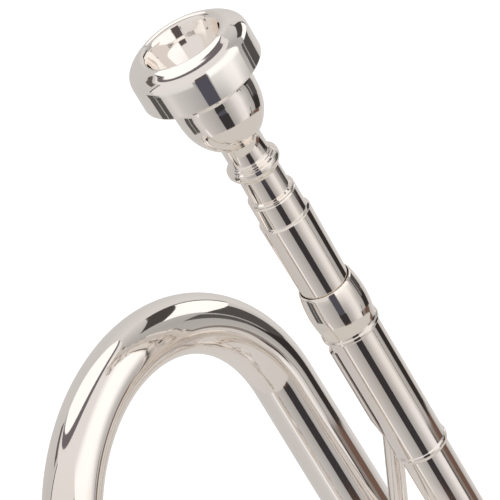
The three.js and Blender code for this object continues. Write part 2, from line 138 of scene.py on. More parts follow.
# Shades round the tent's wall, dark gaps left out: azimuth in degrees, measured as the camera's
# is, and brightness.
WALL_SHADES = [
    (-180, 0.62), (-150, 0.60), (-112, 0.62), (-98, 0.72), (-84, 0.60), (-62, 0.50), (-45, 0.42),
    (-12, 0.44), (0, 0.58), (12, 0.80), (26, 0.92), (38, 0.62), (52, 0.46), (62, 0.44), (98, 0.62),
    (112, 0.72), (150, 0.62), (180, 0.62),
]
# Strips hung inside it: azimuth from and to, height from and to, and colour.
WALL_STRIPS = {
    "camera_gap_low": (-43, -17, TENT_FOOT, 0.005, (0.075, 0.045, 0.035)),
    "camera_gap_middle": (-43, -17, 0.005, UNDER_RIM, (0.042, 0.037, 0.040)),
    "camera_gap_at_rim": (-42, -19, UNDER_RIM, 0.52, (0.085, 0.083, 0.105)),
    "camera_gap_high": (-41, -19, 0.52, 0.80, (0.105, 0.085, 0.085)),
    "brown_board": (52, 80, TENT_FOOT, UNDER_BOW, (0.165, 0.100, 0.078)),
    # Beside the brown board hangs a painted shadow of it: a greyer strip standing in for the board's shade.
    "brown_board_painted_shadow": (39, 52, TENT_FOOT, UNDER_BOW, (0.25, 0.22, 0.20)),
    "brown_board_edge": (34, 39, TENT_FOOT, UNDER_BOW, (0.05, 0.033, 0.03)),
    "right_flag_low": (61, 90, UNDER_BOW, 0.19, BLACK),
    "right_line": (42, 44, UNDER_BOW, 0.15, (0.10, 0.075, 0.065)),
    "right_flag_high": (60, 67, 0.19, 0.40, (0.10, 0.095, 0.09)),
    "right_flag_far": (69, 94, 0.19, 0.40, (0.085, 0.078, 0.075)),
    "left_flag_near": (-125.5, -114, 0.125, 0.40, (0.09, 0.085, 0.08)),
    "left_flag_far": (-142, -127, 0.125, 0.40, (0.10, 0.095, 0.09)),
    "left_line": (-96, -91, TENT_FOOT, 0.125, (1.0, 0.97, 0.95)),
    "side_window": (71, 104, 0.40, EYE_LEVEL, WHITE),
    "side_window_post": (104, 106.5, 0.40, EYE_LEVEL, BLACK),
    "side_curtain": (72, 106.5, EYE_LEVEL, 0.86, (0.07, 0.062, 0.058)),
    "front_upper_left": (-128, -41, EYE_LEVEL, TENT_TOP, PALE),
    "front_upper_middle": (-41, -19, 0.80, TENT_TOP, PALE),
    "front_upper_right": (-19, 50, EYE_LEVEL, TENT_TOP, PALE),
    "front_post": (-131, -128, EYE_LEVEL, TENT_TOP, BLACK),
    "left_curtain": (-165, -140, 0.96, 1.12, (0.12, 0.105, 0.10)),
}


def glow(name, color):
    """A plain glowing finish, for surfaces that only reflections see."""
    finish = bpy.data.materials.new(name)
    finish.use_nodes = True
    nodes = finish.node_tree.nodes
    nodes.clear()
    emission = nodes.new("ShaderNodeEmission")
    emission.inputs["Color"].default_value = (*color, 1)
    output = nodes.new("ShaderNodeOutputMaterial")
    finish.node_tree.links.new(emission.outputs[0], output.inputs["Surface"])
    return finish


def soft_glow(name, color, low, high):
    """A glowing finish that fades out towards its lower and upper ends."""
    finish = glow(name, color)
    nodes = finish.node_tree.nodes
    links = finish.node_tree.links
    place = nodes.new("ShaderNodeTexCoord")
    split = nodes.new("ShaderNodeSeparateXYZ")
    climb = nodes.new("ShaderNodeMapRange")
    climb.inputs["From Min"].default_value = low
    climb.inputs["From Max"].default_value = high
    fade = nodes.new("ShaderNodeValToRGB")
    fade.color_ramp.interpolation = "EASE"
    fade.color_ramp.elements[0].color = (0, 0, 0, 1)
    fade.color_ramp.elements[1].color = (0, 0, 0, 1)
    for position in (0.32, 0.60):
        fade.color_ramp.elements.new(position).color = (1, 1, 1, 1)
    clear = nodes.new("ShaderNodeBsdfTransparent")
    blend = nodes.new("ShaderNodeMixShader")
    links.new(place.outputs["Object"], split.inputs[0])
    links.new(split.outputs["Z"], climb.inputs["Value"])
    links.new(climb.outputs["Result"], fade.inputs["Fac"])
    links.new(fade.outputs["Color"], blend.inputs["Fac"])
    links.new(clear.outputs[0], blend.inputs[1])
    links.new(nodes["Emission"].outputs[0], blend.inputs[2])
    links.new(blend.outputs[0], nodes["Material Output"].inputs["Surface"])
    return finish


def hide_from_camera(thing):
    thing.visible_camera = False
    thing.visible_diffuse = False
    thing.visible_shadow = False
    thing.visible_transmission = False


def hang_strip(name, start, end, low, high, finish, radius):
    """A curved panel of the tent between two azimuths and two heights."""
    shape = bmesh.new()
    foot = shape.verts.new((0, -radius, low))
    head = shape.verts.new((0, -radius, high))
    edge = shape.edges.new((foot, head))
    turned = Matrix.Rotation(math.radians(start), 4, "Z")
    bmesh.ops.transform(shape, matrix=turned, verts=shape.verts[:])
    steps = max(2, round((end - start) / 2))
    bmesh.ops.spin(
        shape, geom=[foot, head, edge], axis=(0, 0, 1), angle=math.radians(end - start), steps=steps,
        use_merge=end - start >= 360,
    )
    hide_from_camera(stage_object(name, shape, finish))


wall_finish = glow("tent_wall", (1, 1, 1))
wall_nodes = wall_finish.node_tree.nodes
wall_links = wall_finish.node_tree.links
wall_place = wall_nodes.new("ShaderNodeTexCoord")
wall_split = wall_nodes.new("ShaderNodeSeparateXYZ")
wall_flip = wall_nodes.new("ShaderNodeMath")
wall_flip.operation = "MULTIPLY"
wall_flip.inputs[1].default_value = -1
wall_angle = wall_nodes.new("ShaderNodeMath")
wall_angle.operation = "ARCTAN2"
wall_turns = wall_nodes.new("ShaderNodeMapRange")
wall_turns.inputs["From Min"].default_value = -math.pi
wall_turns.inputs["From Max"].default_value = math.pi
wall_ramp = wall_nodes.new("ShaderNodeValToRGB")
stops = wall_ramp.color_ramp.elements
for index, (azimuth, shade) in enumerate(WALL_SHADES):
    position = (azimuth + 180) / 360
    stop = stops[0] if index == 0 else stops[1] if index == 1 else stops.new(position)
    stop.position = position
    stop.color = (*(shade * channel for channel in WARM), 1)
wall_links.new(wall_place.outputs["Object"], wall_split.inputs[0])
wall_links.new(wall_split.outputs["Y"], wall_flip.inputs[0])
wall_links.new(wall_split.outputs["X"], wall_angle.inputs[0])
wall_links.new(wall_flip.outputs[0], wall_angle.inputs[1])
wall_links.new(wall_angle.outputs[0], wall_turns.inputs["Value"])
wall_links.new(wall_turns.outputs["Result"], wall_ramp.inputs["Fac"])
wall_links.new(wall_ramp.outputs["Color"], wall_nodes["Emission"].inputs["Color"])
hang_strip("tent_wall", -180, 180, TENT_FOOT, TENT_TOP, wall_finish, TENT_RADIUS)
for name, (start, end, low, high, color) in WALL_STRIPS.items():
    hang_strip(name, start, end, low, high, glow(name, color), TENT_RADIUS * 0.98)
for name, start, end, low, high, color in (
    ("front_sheet", -17, 50, 0.20, 1.16, WHITE),
    ("front_glow", -122, -46, 0.30, 0.80, (0.78, 0.76, 0.74)),
):
    hang_strip(name, start, end, low, high, soft_glow(name, color, low, high), TENT_RADIUS * 0.96)


def lay_disc(name, height, back, radius, color):
    """A round panel across the tent, its middle set back from the tent's along the view."""
    shape = bmesh.new()
    bmesh.ops.create_circle(shape, cap_ends=True, segments=96, radius=radius)
    bmesh.ops.translate(shape, vec=(0, back, height), verts=shape.verts)
    bmesh.ops.transform(shape, matrix=Matrix.Rotation(CAMERA_AZIMUTH, 4, "Z"), verts=shape.verts)
    hide_from_camera(stage_object(name, shape, glow(name, color)))


lay_disc("tent_table", TENT_FOOT, 0, 0.62, (0.66, 0.63, 0.60))
lay_disc("tent_ceiling", TENT_TOP, 0, 0.62, PALE)
lay_disc("light_frame", TENT_TOP - 0.01, 0.26, 0.44, DUSK)
lay_disc("light_box", TENT_TOP - 0.02, 0.33, 0.38, WHITE)

# ---- Mouthpiece ----
# One piece of brass turned on a lathe and silver plated: rim, cup, throat and backbore inside,
# a beaded shank outside. It pushes into the receiver by its taper.
def silver_plate(name, tint=(0.95, 0.915, 0.885), roughness=0.05):
    """Polished silver with faint warm tarnish and the fine lines of a polishing cloth."""
    finish = bpy.data.materials.new(name)
    finish.use_nodes = True
    nodes = finish.node_tree.nodes
    links = finish.node_tree.links
    shader = nodes["Principled BSDF"]
    shader.inputs["Metallic"].default_value = 1
    place = nodes.new("ShaderNodeTexCoord")
    tarnish = nodes.new("ShaderNodeTexNoise")
    tarnish.inputs["Scale"].default_value = 22
    tarnish.inputs["Detail"].default_value = 4
    tone = nodes.new("ShaderNodeValToRGB")
    tone.color_ramp.elements[0].position = 0.35
    tone.color_ramp.elements[0].color = (tint[0] * 0.95, tint[1] * 0.93, tint[2] * 0.90, 1)
    tone.color_ramp.elements[1].position = 0.62
    tone.color_ramp.elements[1].color = (*tint, 1)
    cloth = nodes.new("ShaderNodeTexNoise")
    cloth.inputs["Scale"].default_value = 180
    cloth.inputs["Detail"].default_value = 6
    gloss = nodes.new("ShaderNodeMapRange")
    gloss.inputs["To Min"].default_value = roughness * 0.7
    gloss.inputs["To Max"].default_value = roughness * 1.5
    links.new(place.outputs["Object"], tarnish.inputs["Vector"])
    links.new(place.outputs["Object"], cloth.inputs["Vector"])
    links.new(tarnish.outputs["Fac"], tone.inputs["Fac"])
    links.new(tone.outputs["Color"], shader.inputs["Base Color"])
    links.new(cloth.outputs["Fac"], gloss.inputs["Value"])
    links.new(gloss.outputs["Result"], shader.inputs["Roughness"])
    return finish


def turn(shape, outline, place, steps=80, hollow=False):
    """Spins an outline of (radius, height) in millimetres about the Z axis of a place."""
    known = len(shape.verts)
    points = [shape.verts.new((radius * MM, 0, height * MM)) for radius, height in outline]
    pairs = list(zip(points, points[1:]))
    if hollow:
        pairs.append((points[-1], points[0]))
    lines = [shape.edges.new(pair) for pair in pairs]
    bmesh.ops.spin(
        shape, geom=points + lines, axis=(0, 0, 1), angle=2 * math.pi, steps=steps, use_merge=True,
    )
    shape.verts.ensure_lookup_table()
    bmesh.ops.transform(shape, matrix=place, verts=shape.verts[known:])


def flow(points, steps=6):
    """A smooth line through a few (radius, height) points."""
    spots = [points[0], *points, points[-1]]
    line = []
    for a, b, c, d in zip(spots, spots[1:], spots[2:], spots[3:]):
        for step in range(steps):
            t = step / steps
            line.append(tuple(
                0.5 * (2 * q + (r - p) * t + (2 * p - 5 * q + 4 * r - s) * t ** 2
                       + (3 * q - p - 3 * r + s) * t ** 3)
                for p, q, r, s in zip(a, b, c, d)
            ))
    return line + [points[-1]]


def finish_piece(name, shape, finish, body, nodes, edge=0.12, wall=0):
    """Closes a shape, rounds its edges and mounts it in place of its plain CAD nodes."""
    bmesh.ops.remove_doubles(shape, verts=shape.verts, dist=1e-6)
    bmesh.ops.recalc_face_normals(shape, faces=shape.faces)
    mesh = bpy.data.meshes.new(name)
    shape.to_mesh(mesh)
    shape.free()
    mesh.materials.append(finish)
    mesh.shade_smooth()
    piece = bpy.data.objects.new(name, mesh)
    bpy.context.scene.collection.objects.link(piece)
    if wall:
        thicken = piece.modifiers.new("wall", "SOLIDIFY")
        thicken.thickness = wall * MM
        thicken.offset = -1
    if edge:
        rounding = piece.modifiers.new("edges", "BEVEL")
        rounding.width = edge * MM
        rounding.segments = 3
        rounding.limit_method = "ANGLE"
        rounding.angle_limit = math.radians(28)
        rounding.harden_normals = True
    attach(piece, body)
    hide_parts(*nodes)
    return piece


def stand_on(node, end):
    """The place on the axis of an upright CAD tube at its top or bottom end."""
    low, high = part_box(node)
    height = high.z if end == "top" else low.z
    return Matrix.Translation(((low.x + high.x) / 2, (low.y + high.y) / 2, height))


silver = silver_plate("silver_plate")
shape = bmesh.new()
cup = flow([
    (8.15, -0.7), (7.75, -1.9), (7.3, -3.2), (6.3, -5.2), (4.9, -7.5), (3.4, -9.6), (2.3, -11.6),
    (1.85, -13.2),
], 5)
rim_inside = flow([(9.4, 1.0), (8.6, 0.5), (8.15, -0.7)], 6)[:-1]
rim_outside = flow([
    (13.5, -2.9), (13.35, -2.0), (12.95, -1.25), (12.2, -0.5), (11.25, 0.14), (10.3, 0.7), (9.4, 1.0),
], 6)[:-1]
bowl = flow([
    (4.6, -25.2), (4.9, -24.7), (5.9, -23.9), (7.0, -22.6), (7.95, -21.0), (8.65, -19.2), (9.05, -17.2),
    (9.25, -14.5), (9.35, -11.5), (9.9, -9.35),
], 5)
shank = [
    (4.3, -87.5), (5.0, -87.5), (5.64, -63.9), (5.92, -46.9), (5.97, -46.4), (5.6, -46.05), (5.38, -45.9),
    (5.36, -40.6), (5.2, -40.4), (5.2, -40.1), (5.38, -39.95), (5.3, -39.6), (4.68, -39.3), (4.62, -33.9),
    (4.9, -33.4), (5.2, -33.2), (5.5, -32.9), (5.9, -32.2), (5.95, -31.6), (5.85, -30.9), (5.3, -30.6),
    (5.25, -30.2), (4.95, -30.05), (4.9, -29.7), (4.64, -29.5),
]
turn(shape, [
    *rim_inside, *cup, (1.85, -19), (2.6, -40), *shank, *bowl, (13.05, -9.0), (13.5, -8.5), *rim_outside,
], stand_on("mouthpiece", "top"), steps=128, hollow=True)
finish_piece("mouthpiece_turned", shape, silver, "mouthpiece", ["mouthpiece"])

# ---- Mouthpiece receiver ----
# A turned sleeve on the end of the leadpipe, with a swelling at its mouth, a thin ring behind it
# and another at its far end. It is soldered on.
shape = bmesh.new()
swelling = flow([
    (6.02, -0.1), (6.25, -0.6), (6.55, -2.2), (6.78, -4.2), (6.92, -6.6), (6.82, -8.8), (6.6, -10.6),
    (6.46, -11.8),
], 4)
turn(shape, [
    (5.72, -0.3), (5.85, 0.0), *swelling, (6.46, -12.3), (6.74, -12.5), (6.76, -13.2), (6.4, -13.45),
    (6.14, -13.7), (6.12, -48.0), (6.36, -48.2), (6.4, -48.9), (6.3, -49.5), (6.1, -49.7), (5.75, -49.7),
    (5.75, -26.0), (5.2, -25.5), (5.2, -24.0),
], stand_on("mouthpiece_receiver", "top"), steps=96, hollow=True)
finish_piece("receiver_turned", shape, silver, "frame", ["mouthpiece_receiver"])

# ---- Leadpipe and its sleeve ----
# Drawn tube that widens slowly towards the tuning slide, where a sleeve with a bead at its mouth
# is soldered over it.
def pipe_outline(radius, bore, length, far_radius=None):
    far = radius if far_radius is None else far_radius
    return [(bore, 0), (bore, -length), (far, -length), (radius, 0)]


def height_of(node):
    low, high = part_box(node)
    return (high.z - low.z) / MM


def sleeve_outline(length, radius=6.5, bore=6.05):
    """A slide sleeve with the bead that its mouth is strengthened by."""
    return [
        (bore, 0), (bore, -length), (radius + 0.25, -length), (radius + 0.4, -length + 0.6),
        (radius + 0.4, -length + 2.2), (radius + 0.25, -length + 2.8), (radius, -length + 3.0), (radius, 0),
    ]


shape = bmesh.new()
turn(shape, pipe_outline(5.64, 4.9, height_of("leadpipe"), 5.75), stand_on("leadpipe", "top"), hollow=True)
finish_piece("leadpipe_drawn", shape, silver, "frame", ["leadpipe"])
shape = bmesh.new()
turn(shape, sleeve_outline(height_of("leadpipe_sleeve")), stand_on("leadpipe_sleeve", "top"), hollow=True)
finish_piece("leadpipe_sleeve_drawn", shape, silver, "frame", ["leadpipe_sleeve"])

# ---- Bell bow ----
# The wide hairpin at the player's end: seamless tube bent over a mandrel, even on the tail's side
# and widening steadily from the crown towards the bell.
def hairpin(start, bend_start, bend_end, end, arc_steps=56, leg_steps=6):
    """Points down one leg, round a half circle and back along the other leg."""
    centre = (bend_start + bend_end) / 2
    across = bend_start - centre
    onward = (bend_start - start).normalized() * across.length
    path = [start.lerp(bend_start, step / leg_steps) for step in range(leg_steps)]
    for step in range(arc_steps + 1):
        angle = math.pi * step / arc_steps
        path.append(centre + across * math.cos(angle) + onward * math.sin(angle))
    path += [bend_end.lerp(end, (step + 1) / leg_steps) for step in range(leg_steps)]
    return path


def draw_tube(shape, path, radii, sides=48, flat=1.0, side=None):
    """Draws a round or flattened section along a path, with a radius in metres at each point."""
    places = []
    side = side or (path[1] - path[0]).orthogonal()
    for index, point in enumerate(path):
        tangent = (path[min(index + 1, len(path) - 1)] - path[max(index - 1, 0)]).normalized()
        side = (side - tangent * side.dot(tangent)).normalized()
        other = tangent.cross(side)
        frame_here = Matrix((side, other, tangent)).transposed().to_4x4()
        size = Matrix.Diagonal((radii[index] * flat, radii[index], 1, 1))
        places.append(Matrix.Translation(point) @ frame_here @ size)
    known = len(shape.edges)
    ring = bmesh.ops.create_circle(shape, segments=sides, radius=1)["verts"]
    bmesh.ops.transform(shape, matrix=places[0], verts=ring)
    shape.edges.ensure_lookup_table()
    edges = shape.edges[known:]
    for before, after in zip(places, places[1:]):
        grown = bmesh.ops.extrude_edge_only(shape, edges=edges)["geom"]
        ring = [part for part in grown if isinstance(part, bmesh.types.BMVert)]
        edges = [part for part in grown if isinstance(part, bmesh.types.BMEdge)]
        bmesh.ops.transform(shape, matrix=after @ before.inverted(), verts=ring)


def leg_of(node):
    """The axis of an upright CAD tube, as the point where it meets the floor."""
    low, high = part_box(node)
    return Vector(((low.x + high.x) / 2, (low.y + high.y) / 2, 0))


def at_height(leg, height):
    return Vector((leg.x, leg.y, height))


bell_leg = leg_of("bell_ferrule")
tail_leg = leg_of("tail_ferrule")
bow_low, bow_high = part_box("bell_bow")
bow_bend = bow_high.z - 6.7 * MM - (bell_leg - tail_leg).length / 2
bow_path = hairpin(
    at_height(bell_leg, bow_low.z), at_height(bell_leg, bow_bend), at_height(tail_leg, bow_bend),
    at_height(tail_leg, bow_low.z), arc_steps=96,
)


def bow_radius(index):
    """Widest at the bell's ferrule, and down to the tail's size half way round the bend."""
    walked = index / (len(bow_path) - 1)
    if walked < 0.055:
        return (7.75 - 0.56 * walked / 0.055) * MM
    return (6.47 + 0.72 * max(0, (0.5 - walked) / 0.445)) * MM


shape = bmesh.new()
draw_tube(shape, bow_path, [bow_radius(index) for index in range(len(bow_path))], sides=72)
finish_piece("bell_bow_drawn", shape, silver, "frame", ["bell_bow"], edge=0, wall=0.6)

# ---- Bell ----
# Spun from sheet into a long flare. Its edge is rolled round a wire, which gives the rim its bead,
# and the instrument stands on that.
BELL_RIM = 61.5
BELL_THROAT = 20.2
BELL_POWER = 0.7
BELL_WALL = 0.55
BEAD = 1.5


def bell_radius(height):
    return BELL_RIM * (BELL_THROAT / (height + BELL_THROAT)) ** BELL_POWER


bell_top = height_of("bell")
bell_heights = [1.9 + (bell_top - 1.9) * (step / 64) ** 2.2 for step in range(65)]
bell_inside = [(bell_radius(z) - BELL_WALL, z) for z in reversed(bell_heights)]
bell_outside = [(bell_radius(z), z) for z in bell_heights]
bead = []
for step in range(22):
    angle = math.radians(205 + step * 15)
    bead.append((BELL_RIM - BEAD + BEAD * math.cos(angle), BEAD + BEAD * math.sin(angle)))
shape = bmesh.new()
turn(shape, bell_inside + bead + bell_outside, stand_on("bell", "bottom"), steps=192, hollow=True)
finish_piece("bell_spun", shape, silver, "frame", ["bell"], edge=0.08)

# ---- Ferrules and bell tail ----
# Short turned sleeves with a bead at each end cover the joints of the bow. The tail carries the
# air from the first valve to the bow, and its end is coped to the casing.
def ferrule_outline(length, inner, outer):
    return [
        (inner, 0), (inner, -length), (outer - 0.2, -length), (outer + 0.25, -length + 0.5),
        (outer + 0.25, -length + 1.5), (outer - 0.1, -length + 2.0), (outer - 0.1, -2.0),
        (outer + 0.25, -1.5), (outer + 0.25, -0.5), (outer - 0.2, 0),
    ]


for node, inner in (("bell_ferrule", 7.8), ("tail_ferrule", 6.5)):
    shape = bmesh.new()
    turn(shape, ferrule_outline(height_of(node), inner, inner + 0.65), stand_on(node, "top"), hollow=True)
    finish_piece(f"{node}_turned", shape, silver, "frame", [node])


def cope(shape, casing, axis):
    """Moves the tube points that lie inside a valve casing out to its surface, along one axis."""
    low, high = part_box(casing)
    centre = (low + high) / 2
    radius = (high.z - low.z) / 2 - 0.1 * MM
    other = 3 - axis
    middle = sum(vertex.co[axis] for vertex in shape.verts) / len(shape.verts)
    side = math.copysign(1, middle - centre[axis])
    for vertex in shape.verts:
        across = vertex.co[other] - centre[other]
        reach = math.sqrt(max(0, radius ** 2 - across ** 2))
        if abs(vertex.co[axis] - centre[axis]) < reach:
            vertex.co[axis] = centre[axis] + side * reach


def axis_of(casing):
    """The middle of a valve casing."""
    low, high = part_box(casing)
    return (low + high) / 2


shape = bmesh.new()
tail_length = (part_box("bell_tail")[1].z - axis_of("valve_casing_1").z) / MM - 1
turn(shape, pipe_outline(6.5, 5.9, tail_length), stand_on("bell_tail", "top"), hollow=True)
cope(shape, "valve_casing_1", 2)
finish_piece("bell_tail_drawn", shape, silver, "frame", ["bell_tail"])

# ---- Braces ----
# Turned rods with a flange at each end, soldered between tubes. The rear one slants from a saddle
# on the receiver to the bell.
BRACE_RADIUS = 2.2


def brace(shape, start, end, flange=4.6, flare=1.0):
    """A rod with a hollow-sided flange at each end."""
    axis = end - start
    length = axis.length / MM
    foot = [
        (flange, 0.7), (flange * 0.9, 1.1), (flange * 0.72, 1.7), (flange * 0.6, 2.6),
        (BRACE_RADIUS + 0.15, 4.2),
    ]
    outline = [(0, 0), (flange, 0)]
    outline += [(radius, height * flare) for radius, height in foot]
    outline.append((BRACE_RADIUS, 6 * flare))
    outline += [(radius, length - height) for radius, height in reversed(outline)]
    place = Matrix.Translation(start) @ axis.to_track_quat("Z", "Y").to_matrix().to_4x4()
    turn(shape, outline, place, steps=48)


def reach_between(leg_a, leg_b, height, inset_a, inset_b):
    """The two points, at one height, where a brace meets two legs."""
    a = at_height(leg_a, height)
    b = at_height(leg_b, height)
    along = (b - a).normalized()
    return a + along * inset_a * MM, b - along * inset_b * MM


def middle_height(node):
    low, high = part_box(node)
    return (low.z + high.z) / 2


leadpipe_leg = leg_of("leadpipe")
low_leg = leg_of("tuning_lower_sleeve")
for node, body, leg_a, leg_b, inset_a, inset_b, flange in (
    ("front_brace", "frame", leadpipe_leg, bell_leg, 5.4, 10.0, 4.6),
    ("bow_brace", "frame", bell_leg, tail_leg, 6.3, 5.2, 4.6),
    ("tuning_sleeve_brace", "frame", leadpipe_leg, low_leg, 5.4, 5.4, 4.6),
    ("tuning_slide_brace", "tuning_slide", leadpipe_leg, low_leg, 4.9, 4.9, 3.6),
):
    shape = bmesh.new()
    brace(shape, *reach_between(leg_a, leg_b, middle_height(node), inset_a, inset_b), flange=flange)
    finish_piece(f"{node}_turned", shape, silver, body, [node], edge=0.1)


def wrap_plate(shape, leg, height, radius, length, facing, wrap=120, taper=0.8):
    """A thin plate that hugs a tube, as a saddle under the foot of a brace."""
    known = len(shape.verts)
    corners = [
        (radius, -length / 2), (radius + 0.8, -length / 2 + taper), (radius + 0.8, length / 2 - 0.8),
        (radius, length / 2),
    ]
    points = [shape.verts.new((r * MM, 0, z * MM)) for r, z in corners]
    lines = [shape.edges.new((points[index - 1], points[index])) for index in range(len(points))]
    bmesh.ops.spin(shape, geom=points + lines, axis=(0, 0, 1), angle=math.radians(wrap), steps=32)
    bmesh.ops.holes_fill(shape, edges=[edge for edge in shape.edges if edge.is_boundary])
    shape.verts.ensure_lookup_table()
    turned = Matrix.Rotation(math.radians(facing - wrap / 2), 4, "Z")
    place = Matrix.Translation(at_height(leg, height)) @ turned
    bmesh.ops.transform(shape, matrix=place, verts=shape.verts[known:])


# The rod leaves its saddle a little towards the finger buttons.
REAR_BRACE_DROP = 50 * MM
REAR_BRACE_SHIFT = 1.4 * MM
rear_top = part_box("rear_brace")[1].z - 23 * MM
rear_start = at_height(leadpipe_leg, rear_top) + Vector((REAR_BRACE_SHIFT, 5.0 * MM, 0))
rear_end = at_height(bell_leg, rear_top - REAR_BRACE_DROP) + Vector((REAR_BRACE_SHIFT, -6.0 * MM, 0))
shape = bmesh.new()
brace(shape, rear_start, rear_end, flange=4.4, flare=2.2)
wrap_plate(shape, leadpipe_leg, rear_top + 9 * MM, 6.05, 28, 94, wrap=146, taper=7)
wrap_plate(shape, bell_leg, rear_top - REAR_BRACE_DROP, 7.3, 16, -90)
finish_piece("rear_brace_turned", shape, silver, "frame", ["rear_brace"], edge=0.15)

# ---- Valve casings and caps ----
# Each casing is a straight tube with two raised rings. Knurled caps screw on at both ends, the
# bottom one closed, the top one drilled for the stem.
VALVES = (1, 2, 3)
CASING_LENGTH = 128


def lay_valve(number):
    """The place on a valve's axis at the top end of its casing, with Z towards the finger button."""
    low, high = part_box(f"valve_casing_{number}")
    middle = (low + high) / 2
    return Matrix.Translation((high.x, middle.y, middle.z)) @ Matrix.Rotation(math.radians(90), 4, "Y")


def knurl(shape, radius, low, high, place, teeth=54):
    """A band of straight knurling: a ring with ridges along its outside."""
    known = len(shape.verts)
    band = [(radius - 1, low), (radius, low), (radius, high), (radius - 1, high)]
    turn(shape, band, Matrix(), steps=teeth * 2, hollow=True)
    shape.verts.ensure_lookup_table()
    for vertex in shape.verts[known:]:
        step = round(math.atan2(vertex.co.y, vertex.co.x) * teeth / math.pi)
        if step % 2 and vertex.co.xy.length > (radius - 0.5) * MM:
            vertex.co.xy = vertex.co.xy * 0.97
    bmesh.ops.transform(shape, matrix=place, verts=shape.verts[known:])


casing_outline = [
    (8.75, 0), (8.75, -CASING_LENGTH), (9.3, -CASING_LENGTH), (9.3, -122), (9.8, -121.8), (9.8, -98.2),
    (10.0, -98), (10.0, -96.8), (9.8, -96.6), (9.8, -22), (10.0, -21.8), (10.0, -20.6), (9.8, -20.4),
    (9.8, -6.2), (9.3, -6), (9.3, 0),
]
bottom_cap_outline = [
    (0, -132.4), (3.4, -132.4), (3.8, -132.0), (4.2, -131.0), (8.6, -130.9), (10.1, -130.2),
    (10.5, -129.4), (10.5, -122.6), (10.2, -122.2), (9.6, -122.2), (9.6, -128.4), (8, -129.4),
    (0, -129.4),
]
top_cap_outline = [
    (2.8, 6.6), (2.8, 3.4), (9.6, 2.2), (9.6, -5.8), (10.2, -5.8), (10.5, -5.4), (10.5, 2.6),
    (10.2, 3.6), (9.4, 4.6), (8.0, 5.2), (5.0, 5.3), (4.5, 5.6), (4.4, 6.4), (4.0, 6.6),
]
for number in VALVES:
    place = lay_valve(number)
    shape = bmesh.new()
    turn(shape, casing_outline, place, steps=96, hollow=True)
    finish_piece(
        f"casing_{number}_turned", shape, silver, "frame", [f"valve_casing_{number}"],
    )

    shape = bmesh.new()
    turn(shape, bottom_cap_outline, place, steps=96)
    knurl(shape, 10.9, -128.2, -124.2, place)
    finish_piece(
        f"bottom_cap_{number}_turned", shape, silver, "frame", [f"bottom_cap_{number}"],
    )

    shape = bmesh.new()
    turn(shape, top_cap_outline, place, steps=96, hollow=True)
    knurl(shape, 10.9, -2.4, 1.8, place)
    finish_piece(
        f"top_cap_{number}_turned", shape, silver, "frame", [f"top_cap_{number}"],
    )

# ---- Pistons, stems and finger buttons ----
# The lapped pistons and their white guides stay as the plain pieces, in their own finishes. A
# wound steel spring pushes each piston back. Stem and button are turned, a felt washer lies under
# the button, and a disc of pearl is set into it.
def plain_finish(name, color, roughness, metallic, grain, depth):
    """A solid colour broken by a little grain in tone and surface."""
    finish = bpy.data.materials.new(name)
    finish.use_nodes = True
    nodes = finish.node_tree.nodes
    links = finish.node_tree.links
    shader = nodes["Principled BSDF"]
    shader.inputs["Roughness"].default_value = roughness
    shader.inputs["Metallic"].default_value = metallic
    place = nodes.new("ShaderNodeTexCoord")
    noise = nodes.new("ShaderNodeTexNoise")
    noise.inputs["Scale"].default_value = grain
    noise.inputs["Detail"].default_value = 5
    tone = nodes.new("ShaderNodeValToRGB")
    tone.color_ramp.elements[0].position = 0.3
    tone.color_ramp.elements[0].color = (*(channel * 0.78 for channel in color), 1)
    tone.color_ramp.elements[1].position = 0.7
    tone.color_ramp.elements[1].color = (*color, 1)
    relief = nodes.new("ShaderNodeBump")
    relief.inputs["Strength"].default_value = depth
    relief.inputs["Distance"].default_value = 0.1 * MM
    links.new(place.outputs["Object"], noise.inputs["Vector"])
    links.new(noise.outputs["Fac"], tone.inputs["Fac"])
    links.new(tone.outputs["Color"], shader.inputs["Base Color"])
    links.new(noise.outputs["Fac"], relief.inputs["Height"])
    links.new(relief.outputs["Normal"], shader.inputs["Normal"])
    return finish


piston_metal = plain_finish("piston_metal", (0.62, 0.60, 0.57), 0.28, 1, 900, 0.1)
nylon = plain_finish("nylon", (0.86, 0.85, 0.81), 0.55, 0, 700, 0.1)
cork = plain_finish("cork", (0.60, 0.42, 0.26), 0.9, 0, 1600, 0.8)
felt = plain_finish("felt", (0.55, 0.53, 0.50), 0.98, 0, 2500, 1.0)
pearl = plain_finish("pearl", (0.93, 0.90, 0.86), 0.16, 0, 420, 0.0)
pearl.node_tree.nodes["Principled BSDF"].inputs["Coat Weight"].default_value = 1.0
pearl_tone = next(node for node in pearl.node_tree.nodes if node.bl_idname == "ShaderNodeValToRGB").color_ramp
pearl_tone.elements[0].color = (0.78, 0.80, 0.82, 1)
pearl_blush = pearl_tone.elements.new(0.5)
pearl_blush.color = (0.92, 0.85, 0.84, 1)

